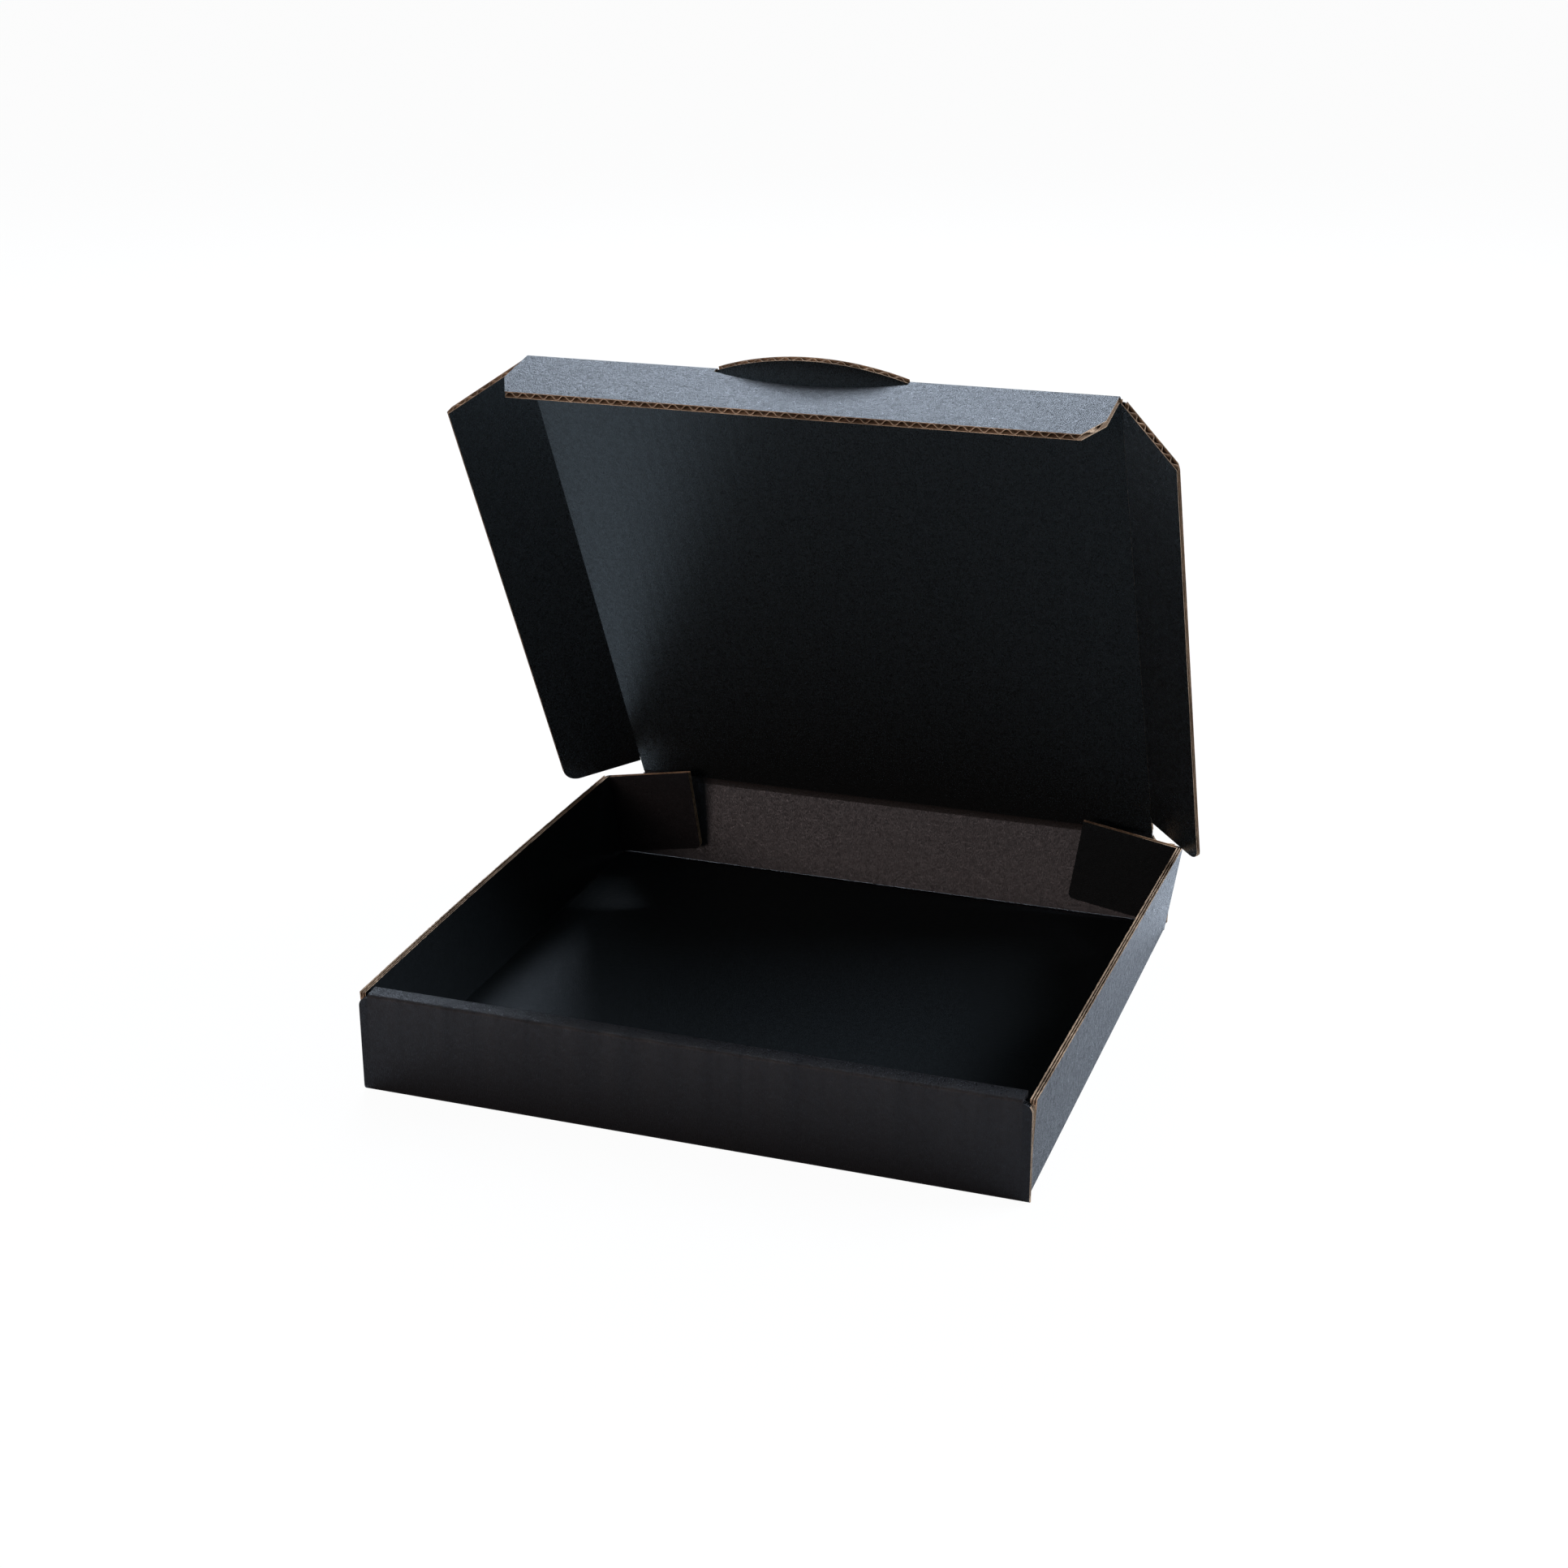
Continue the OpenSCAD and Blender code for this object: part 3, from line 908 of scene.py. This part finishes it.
@dataclass
class Lid:
    """Lid panel with its thumb tab, side flaps and tuck flap."""

    s: MailerSizes
    finishes: Finishes

    def build(self) -> None:
        """Build the panels and the paper across their folds."""
        self._panel()
        self._tuck()
        self._hinge_skins()
        self._tuck_skins()
        for side in Side:
            self._flap(side)
            self._flap_skin(side)

    def _tab(self, margin: float) -> list[Point2]:
        """Arc of the thumb tab from right to left, grown by a margin, with the tuck fold at y = 0."""
        s = self.s
        rise = s.tab_h - s.tab_end
        radius = (s.tab_w ** 2 / 4 + rise ** 2) / (2 * rise)
        half = s.tab_w / 2 + margin
        reach = math.degrees(math.asin(half / (radius + margin)))
        return arc((0, radius - s.tab_h), radius + margin, -90 + reach, -90 - reach, 40)

    def _panel(self) -> None:
        """Lid panel and thumb tab."""
        s = self.s
        half, edge = s.lid_w / 2 - s.seam, -(s.lid_len - s.seam)
        tab = [(x, y - s.lid_len) for x, y in self._tab(0)]
        outline = [(-half, -1.0), (-half, edge), (-s.tab_w / 2, edge)] + tab[::-1]
        outline += [(s.tab_w / 2, edge), (half, edge), (half, -1.0)]
        obj = BoardPanel("lid_panel", outline, s.lid_panel_frame(), s.board).build(self.finishes)
        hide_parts("lid")
        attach(obj, "lid")

    def _tuck(self) -> None:
        """Tuck flap with the opening that the thumb tab is cut from."""
        s = self.s
        half, fold = s.lid_w / 2 - s.tuck_end, -s.seam
        hole = [(x, y) for x, y in self._tab(s.kerf) if y < fold]
        edge = s.tab_w / 2 + s.kerf
        outline = [(-half, fold), (-edge, fold)] + hole[::-1] + [(edge, fold), (half, fold)]
        outline += [(half, s.bevel_d - s.tuck_depth), (half - s.bevel_w, -s.tuck_depth)]
        outline += [(s.bevel_w - half, -s.tuck_depth), (-half, s.bevel_d - s.tuck_depth)]
        obj = BoardPanel("tuck_flap_board", outline, s.tuck_frame(), s.board).build(self.finishes)
        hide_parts("tuck_flap")
        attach(obj, "tuck_flap")

    def _flap(self, side: Side) -> None:
        """One side flap."""
        s = self.s
        rear = s.flap_notch + s.flap_rear_slant
        slant = math.atan2(s.flap_rear_slant, s.flap_w)
        tip = (s.flap_w - s.flap_tip_r, -rear - s.flap_tip_r * (1 / math.cos(slant) - math.tan(slant)))
        front = s.lid_len - s.gap
        outline = [(s.seam, -front), (s.seam, -s.flap_notch)]
        outline += arc(tip, s.flap_tip_r, 90 - math.degrees(slant), 0, 10)
        outline += [(s.flap_w, -front + s.flap_slant)]
        outline = [(side * x, y) for x, y in outline]
        name = f"{side.word}_flap"
        board = BoardPanel(f"{name}_board", outline, s.flap_frame(side), s.board, pinch=0.4)
        obj = board.build(self.finishes)
        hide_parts(name)
        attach(obj, name)

    def _hinge_skins(self) -> None:
        """Paper on both sides of the hinge, from the back wall to the lid."""
        s = self.s
        wall, lid = s.back_frame().to_3x3(), s.lid_frame().to_3x3()
        axis = Vector((-s.lid_w / 2 + s.gap, s.hinge_y, s.hinge_z))
        fold = Fold(axis, -wall.col[1], wall.col[2], -lid.col[1], lid.col[2], 1.0)
        run = Vector((s.lid_w - 2 * s.gap, 0, 0))
        paths = {"hinge_outer_skin": fold.outer_path(s.t / 2), "hinge_inner_skin": fold.inner_path(s.t / 2)}
        for name, path in paths.items():
            path[0] = path[0] - wall.col[1] * (s.t / 2 + s.gap)
            FoldStrip(name, "tray", "lid", path, run, fold.start(), fold.end()).build(self.finishes)

    def _tuck_skins(self) -> None:
        """Paper over the tuck fold on both sides of the thumb tab."""
        s = self.s
        lid, tuck = s.lid_frame().to_3x3(), s.tuck_frame().to_3x3()
        near, far = s.tab_w / 2 + s.kerf, s.lid_w / 2 - s.tuck_end
        for side in Side:
            axis = s.lid_panel_frame() @ Vector((side * near, -s.lid_len, 0))
            fold = Fold(axis, lid.col[1], lid.col[2], -tuck.col[1], tuck.col[2], s.seam)
            run = Vector((side * (far - near), 0, 0))
            FoldStrip(f"tuck_skin_{side.word}", "lid", "tuck_flap", fold.outer_path(s.t), run,
                      fold.start(), fold.end()).build(self.finishes)

    def _flap_skin(self, side: Side) -> None:
        """Paper over a side flap's fold."""
        s = self.s
        lid, flap = s.lid_frame().to_3x3(), s.flap_frame(side).to_3x3()
        axis = s.lid_panel_frame() @ Vector((side * s.lid_w / 2, -s.flap_notch, 0))
        fold = Fold(axis, -side * lid.col[0], lid.col[2], side * flap.col[0], flap.col[2], s.seam)
        run = -lid.col[1] * (s.lid_len - 1.5 - s.flap_notch)
        FoldStrip(f"{side.word}_flap_skin", "lid", f"{side.word}_flap", fold.outer_path(s.t), run,
                  fold.start(), fold.end()).build(self.finishes)


@dataclass
class RearFlaps:
    """Corner flaps folded in from the rear ends of the side walls."""

    s: MailerSizes
    finishes: Finishes

    def build(self) -> None:
        """Build both flaps."""
        s = self.s
        rise = s.rear_len * math.tan(math.radians(s.rear_rake))
        top = math.hypot(s.rear_flare, s.wall_h - s.t) - s.gap
        corner = (s.rear_lift + rise + s.rear_r, s.rear_r - s.rear_len)
        outline = [(top, -s.gap / 2), (s.rear_lift, -s.gap / 2)]
        outline += arc(corner, s.rear_r, 180 + s.rear_rake, 270, 6) + [(top + rise, -s.rear_len)]
        for side in Side:
            name = f"rear_{side.word}_flap"
            obj = BoardPanel(f"{name}_board", outline, s.rear_frame(side), s.board).build(self.finishes)
            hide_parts(name)
            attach(obj, name)
            self._skin(side, name)

    def _skin(self, side: Side, name: str) -> None:
        """Paper round the outside of a rear flap's fold."""
        s = self.s
        flap = s.rear_frame(side).to_3x3()
        lean = s.flare_angle
        out = Vector((side * math.cos(lean), 0, -math.sin(lean)))
        axis = Vector((side * s.inside_w / 2, s.side_rear_y, s.t))
        up = flap.col[0]
        fold = Fold(axis, Vector((0, -1, 0)), out, -flap.col[1], side * flap.col[2], s.gap / 2)
        top = math.hypot(s.rear_flare, s.wall_h - s.t) - s.gap
        path = [p - up * (0.5 * s.t) for p in fold.outer_path(s.t)]
        FoldStrip(f"{name}_skin", "tray", name, path, up * (top + 0.5 * s.t),
                  fold.start(), fold.end()).build(self.finishes)


@dataclass(frozen=True)
class Softbox:
    """Rectangular soft light that faces a point, in metres and watts."""

    name: str
    place: Triple
    aim: Triple
    width: float
    height: float
    power: float
    colour: Triple

    def build(self) -> None:
        """Add the light."""
        data = bpy.data.lights.new(self.name, "AREA")
        data.shape = "RECTANGLE"
        data.size, data.size_y = self.width, self.height
        data.energy, data.color = self.power, self.colour
        lamp = bpy.data.objects.new(self.name, data)
        turn = (Vector(self.aim) - Vector(self.place)).to_track_quat("-Z", "Y").to_matrix().to_4x4()
        lamp.matrix_world = Matrix.Translation(self.place) @ turn
        bpy.context.scene.collection.objects.link(lamp)


@dataclass(frozen=True)
class Studio:
    """White floor, soft lights and the camera at the photograph's viewing angle."""

    place: Triple = (0.341939, -0.985941, 0.507440)
    azimuth: float = 19.385
    elevation: float = 20.906
    roll: float = -0.109
    focal_px: float = 3066.456
    image_px: float = 1932.0
    floor_half: float = 16.0
    floor_drop: float = 0.0002
    cool: Triple = (0.73, 0.84, 1.0)
    warm: Triple = (1.0, 0.75, 0.69)
    fill: Triple = (0.80, 0.90, 1.0)
    fill_strength: float = 0.22

    def build(self) -> None:
        """Build the stage."""
        self._floor()
        self._world()
        for light in (
            Softbox("back_window", (-0.62, 1.72, 1.64), (0.0, 0.0, 0.28), 1.2, 0.9, 66.0, self.cool),
            Softbox("top_softbox", (-0.6, 0.8, 2.0), (-0.4, 0.3, 0.0), 1.6, 1.4, 20.0, self.cool),
            Softbox("right_softbox", (1.5, 0.85, 0.9), (0.48, 0.15, 0.0), 1.4, 1.0, 88.0, self.cool),
            Softbox("front_card", (-0.80, -2.4, 0.58), (0.0, 0.14, 0.04), 1.1, 0.5, 20.0, self.warm),
        ):
            light.build()
        self._camera()

    def _floor(self) -> None:
        """Lay the floor."""
        bm = bmesh.new()
        bmesh.ops.create_grid(bm, x_segments=1, y_segments=1, size=self.floor_half)
        bmesh.ops.translate(bm, vec=(0, 0, -self.floor_drop), verts=bm.verts)
        mesh = bpy.data.meshes.new("studio_floor")
        bm.to_mesh(mesh)
        bm.free()
        floor = bpy.data.objects.new("studio_floor", mesh)
        bpy.context.scene.collection.objects.link(floor)
        floor.data.materials.append(StudioWhite().material())

    def _world(self) -> None:
        """White to the camera, a plain soft grey to everything else."""
        world = bpy.data.worlds.new("studio_world")
        bpy.context.scene.world = world
        world.use_nodes = True
        tree = world.node_tree
        tree.nodes.clear()
        path = tree.nodes.new("ShaderNodeLightPath")
        seen = tree.nodes.new("ShaderNodeBackground")
        fill = tree.nodes.new("ShaderNodeBackground")
        mix = tree.nodes.new("ShaderNodeMixShader")
        out = tree.nodes.new("ShaderNodeOutputWorld")
        seen.inputs["Strength"].default_value = 1.0
        seen.inputs["Color"].default_value = (1, 1, 1, 1)
        fill.inputs["Color"].default_value = (*self.fill, 1.0)
        fill.inputs["Strength"].default_value = self.fill_strength
        tree.links.new(path.outputs["Is Camera Ray"], mix.inputs[0])
        tree.links.new(fill.outputs[0], mix.inputs[1])
        tree.links.new(seen.outputs[0], mix.inputs[2])
        tree.links.new(mix.outputs[0], out.inputs["Surface"])

    def _camera(self) -> None:
        """Set the camera."""
        az, el, roll = (math.radians(v) for v in (self.azimuth, self.elevation, self.roll))
        back = Vector((math.sin(az) * math.cos(el), -math.cos(az) * math.cos(el), math.sin(el)))
        right = Vector((math.cos(az), math.sin(az), 0))
        up = back.cross(right)
        turned = axes_frame(Vector(self.place), right * math.cos(roll) + up * math.sin(roll),
                            up * math.cos(roll) - right * math.sin(roll))
        data = bpy.data.cameras.new("photo_camera")
        data.sensor_width = 36.0
        data.lens = self.focal_px / self.image_px * data.sensor_width
        data.clip_start, data.clip_end = 0.01, 50.0
        camera = bpy.data.objects.new("photo_camera", data)
        camera.matrix_world = turned
        bpy.context.scene.collection.objects.link(camera)
        bpy.context.scene.camera = camera


def main() -> None:
    """Build the box piece by piece, then the studio."""
    logging.basicConfig(level=logging.INFO, format="%(name)s %(message)s")
    sizes = MailerSizes()
    finishes = Finishes()
    Tray(sizes, finishes).build()
    Lid(sizes, finishes).build()
    RearFlaps(sizes, finishes).build()
    Studio().build()
    bpy.context.scene.view_settings.view_transform = "Standard"


if __name__ == "__main__":
    main()
